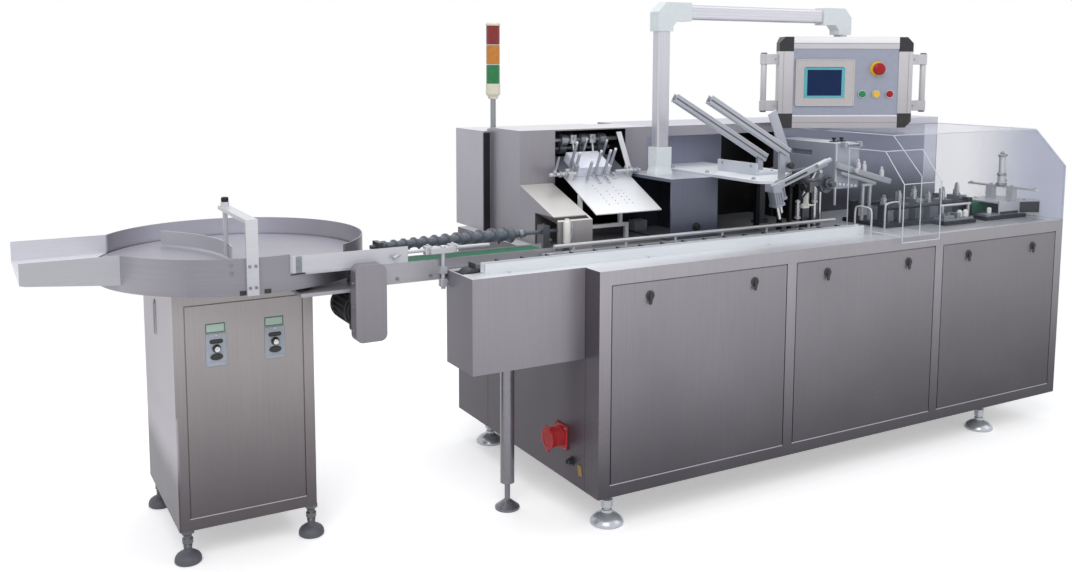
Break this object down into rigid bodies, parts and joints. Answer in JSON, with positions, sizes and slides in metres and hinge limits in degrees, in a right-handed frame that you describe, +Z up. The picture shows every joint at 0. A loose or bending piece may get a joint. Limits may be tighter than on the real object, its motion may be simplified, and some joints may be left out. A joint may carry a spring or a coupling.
{
  "type": "automatic cartoner",
  "caption": "Horizontal automatic cartoner: stainless cabinet with clear guards, leaflet feeder, carton magazine and swivelling panel on an arm, fed by a turntable and timing screw.",
  "frame": {"origin": "middle of the whole object's footprint, on the floor", "axes": "+X along the flow of goods from turntable to discharge, +Y from the operator side to the back, +Z up"},
  "size_m": [4.06, 1.209, 1.808],
  "materials": {
    "cabinet_steel": "brushed stainless sheet, slightly warm grey",
    "housing_steel": "brushed stainless sheet",
    "bright_steel": "bright stainless",
    "machined_steel": "machined steel",
    "foot_chrome": "polished",
    "foot_black": "dark satin",
    "latch_black": "black satin",
    "inlet_red": "red satin",
    "beacon_cream": "cream satin",
    "lens_green": "clear coloured",
    "lens_amber": "clear coloured",
    "lens_red": "clear coloured",
    "arm_paint": "near white powder coat",
    "arm_aluminium": "anodised",
    "panel_aluminium": "anodised profile",
    "panel_plate": "blue-grey satin",
    "bezel_cream": "cream satin",
    "screen_dark": "dark glossy display",
    "stop_red": "red gloss",
    "button_collar": "bright collar with a coloured cap",
    "chain_dark": "dark steel",
    "rail_black": "black oxide",
    "belt_green": "green belt",
    "clear_guard": "clear polycarbonate",
    "control_plate": "grey plate",
    "motor_dark": "dark finned casting",
    "screw_grey": "slate grey nylon",
    "leaflet_paper": "white stack"
  },
  "bodies": {
    "machine": {"base_cabinet": "cabinet_steel", "access_doors": "cabinet_steel", "door_latches": "latch_black", "machine_feet": "foot_chrome", "infeed_box": "cabinet_steel", "power_inlet": "inlet_red", "electrical_cabinet": "housing_steel", "leaflet_housing": "housing_steel", "chute_cover": "housing_steel", "rear_housing": "housing_steel", "leaflet_table": "bright_steel", "leaflet_guides": "machined_steel", "leaflet_stack": "leaflet_paper", "leaflet_rollers": "machined_steel", "beacon_pole": "bright_steel", "beacon_base": "beacon_cream", "beacon_green": "lens_green", "beacon_amber": "lens_amber", "beacon_red": "lens_red", "arm_pedestal": "housing_steel", "arm_fittings": "arm_paint", "arm_tubes": "arm_aluminium", "front_rail": "bright_steel", "rear_rail": "bright_steel", "product_chain": "chain_dark", "magazine_bed": "bright_steel", "carton_rails": "bright_steel", "carton_erector": "machined_steel", "closing_housing": "housing_steel", "closing_rail": "rail_black", "closing_blocks": "machined_steel", "outfeed_belt": "belt_green", "press_unit": "machined_steel", "end_guard": "clear_guard", "stand_cabinet": "housing_steel", "stand_feet": "foot_black", "speed_controls": "control_plate", "turntable_rim": "bright_steel", "loading_tray": "bright_steel", "guide_bridge": "bright_steel", "guide_bow": "bright_steel", "conveyor_bed": "bright_steel", "conveyor_rollers": "machined_steel", "conveyor_belt": "belt_green", "conveyor_guides": "bright_steel", "conveyor_leg": "bright_steel", "drive_cover": "cabinet_steel", "drive_motor": "motor_dark", "screw_bearings": "rail_black"},
    "turntable": {"turntable_disc": "bright_steel"},
    "screw": {"timing_screw": "screw_grey"},
    "panel": {"panel_case": "panel_aluminium", "panel_corners": "latch_black", "panel_face": "panel_plate", "screen_bezel": "bezel_cream", "screen_glass": "screen_dark", "stop_button": "stop_red", "push_buttons": "button_collar", "panel_handles": "panel_aluminium"},
    "guard": {"lifting_guard": "clear_guard"}
  },
  "joints": [
    {"name": "turntable_spin", "type": "hinge", "parent": "machine", "child": "turntable", "pos_m": [-1.373, 0.1425, 0.9], "axis": [0, 0, 1], "continuous": true},
    {"name": "screw_spin", "type": "hinge", "parent": "machine", "child": "screw", "pos_m": [-0.7, -0.1545, 0.969], "axis": [1, 0, 0], "continuous": true},
    {"name": "panel_swivel", "type": "hinge", "parent": "machine", "child": "panel", "pos_m": [1.213, -0.0395, 1.69], "axis": [0, 0, 1], "range_deg": [0, 50]},
    {"name": "guard_lift", "type": "hinge", "parent": "machine", "child": "guard", "pos_m": [1.06, -0.2755, 1.242], "axis": [-1, 0, 0], "range_deg": [0, 75]}
  ]
}
